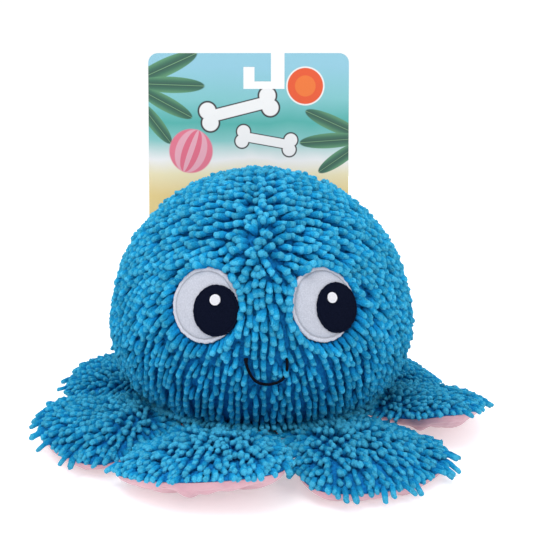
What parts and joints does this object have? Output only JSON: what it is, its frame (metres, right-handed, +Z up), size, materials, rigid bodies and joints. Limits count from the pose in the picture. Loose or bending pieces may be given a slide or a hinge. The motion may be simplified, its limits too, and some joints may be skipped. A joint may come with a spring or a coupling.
{
  "type": "octopus dog toy",
  "caption": "Plush octopus dog toy with a round chenille head, felt eyes, flat stuffed lobes all round and a hang card behind.",
  "frame": {"origin": "middle of the flat underside of the base panel", "axes": "+Z up, the face looks along -Y, +X to the right of someone who looks at the face"},
  "size_m": [0.3138, 0.3138, 0.2742],
  "materials": {
    "chenille_blue": "blue chenille pile",
    "cloth_pink": "smooth pink knitted cloth",
    "fibre_filling": "white polyester fibre",
    "felt_white": "white felt",
    "felt_black": "black satin stitch on felt",
    "thread_white": "white embroidery thread",
    "thread_black": "black embroidery thread",
    "plastic_blown": "natural blown polyethylene",
    "plastic_hard": "natural moulded plastic",
    "card_printed": "printed and varnished board"
  },
  "bodies": {
    "toy_head": {"head_gore_front_right": "chenille_blue", "head_gore_back_right": "chenille_blue", "head_gore_back_left": "chenille_blue", "head_gore_front_left": "chenille_blue", "eye_white_left": "felt_white", "eye_pupil_left": "felt_black", "eye_glint_left": "thread_white", "eye_white_right": "felt_white", "eye_pupil_right": "felt_black", "eye_glint_right": "thread_white", "mouth_thread": "thread_black", "base_panel": "cloth_pink", "head_filling": "fibre_filling", "head_filling_plug": "fibre_filling", "squeaker_drum": "plastic_blown", "squeaker_reed": "plastic_hard", "header_card": "card_printed", "tag_pin_left": "plastic_hard", "tag_pin_right": "plastic_hard"},
    "lobe_1": {"lobe_1_cover": "chenille_blue", "lobe_1_lining": "cloth_pink", "lobe_1_filling": "fibre_filling"},
    "lobe_2": {"lobe_2_cover": "chenille_blue", "lobe_2_lining": "cloth_pink", "lobe_2_filling": "fibre_filling"},
    "lobe_3": {"lobe_3_cover": "chenille_blue", "lobe_3_lining": "cloth_pink", "lobe_3_filling": "fibre_filling"},
    "lobe_4": {"lobe_4_cover": "chenille_blue", "lobe_4_lining": "cloth_pink", "lobe_4_filling": "fibre_filling"},
    "lobe_5": {"lobe_5_cover": "chenille_blue", "lobe_5_lining": "cloth_pink", "lobe_5_filling": "fibre_filling"},
    "lobe_6": {"lobe_6_cover": "chenille_blue", "lobe_6_lining": "cloth_pink", "lobe_6_filling": "fibre_filling"},
    "lobe_7": {"lobe_7_cover": "chenille_blue", "lobe_7_lining": "cloth_pink", "lobe_7_filling": "fibre_filling"},
    "lobe_8": {"lobe_8_cover": "chenille_blue", "lobe_8_lining": "cloth_pink", "lobe_8_filling": "fibre_filling"}
  },
  "joints": [
    {"name": "lobe_1_bend", "type": "hinge", "parent": "toy_head", "child": "lobe_1", "pos_m": [0.04223, -0.07029, 0.013], "axis": [-0.8572, -0.515, 0], "range_deg": [-35, 32], "stiffness_Nm_per_rad": 0.02, "springref_deg": 6.3},
    {"name": "lobe_2_bend", "type": "hinge", "parent": "toy_head", "child": "lobe_2", "pos_m": [0.07956, -0.01984, 0.013], "axis": [-0.2419, -0.9703, 0], "range_deg": [-35, 32], "stiffness_Nm_per_rad": 0.02, "springref_deg": 6.3},
    {"name": "lobe_3_bend", "type": "hinge", "parent": "toy_head", "child": "lobe_3", "pos_m": [0.07029, 0.04223, 0.013], "axis": [0.515, -0.8572, 0], "range_deg": [-35, 32], "stiffness_Nm_per_rad": 0.02, "springref_deg": 6.3},
    {"name": "lobe_4_bend", "type": "hinge", "parent": "toy_head", "child": "lobe_4", "pos_m": [0.01984, 0.07956, 0.013], "axis": [0.9703, -0.2419, 0], "range_deg": [-35, 32], "stiffness_Nm_per_rad": 0.02, "springref_deg": 6.3},
    {"name": "lobe_5_bend", "type": "hinge", "parent": "toy_head", "child": "lobe_5", "pos_m": [-0.04223, 0.07029, 0.013], "axis": [0.8572, 0.515, 0], "range_deg": [-35, 32], "stiffness_Nm_per_rad": 0.02, "springref_deg": 6.3},
    {"name": "lobe_6_bend", "type": "hinge", "parent": "toy_head", "child": "lobe_6", "pos_m": [-0.07956, 0.01984, 0.013], "axis": [0.2419, 0.9703, 0], "range_deg": [-35, 32], "stiffness_Nm_per_rad": 0.02, "springref_deg": 6.3},
    {"name": "lobe_7_bend", "type": "hinge", "parent": "toy_head", "child": "lobe_7", "pos_m": [-0.07029, -0.04223, 0.013], "axis": [-0.515, 0.8572, 0], "range_deg": [-35, 32], "stiffness_Nm_per_rad": 0.02, "springref_deg": 6.3},
    {"name": "lobe_8_bend", "type": "hinge", "parent": "toy_head", "child": "lobe_8", "pos_m": [-0.01984, -0.07956, 0.013], "axis": [-0.9703, 0.2419, 0], "range_deg": [-35, 32], "stiffness_Nm_per_rad": 0.02, "springref_deg": 6.3}
  ]
}
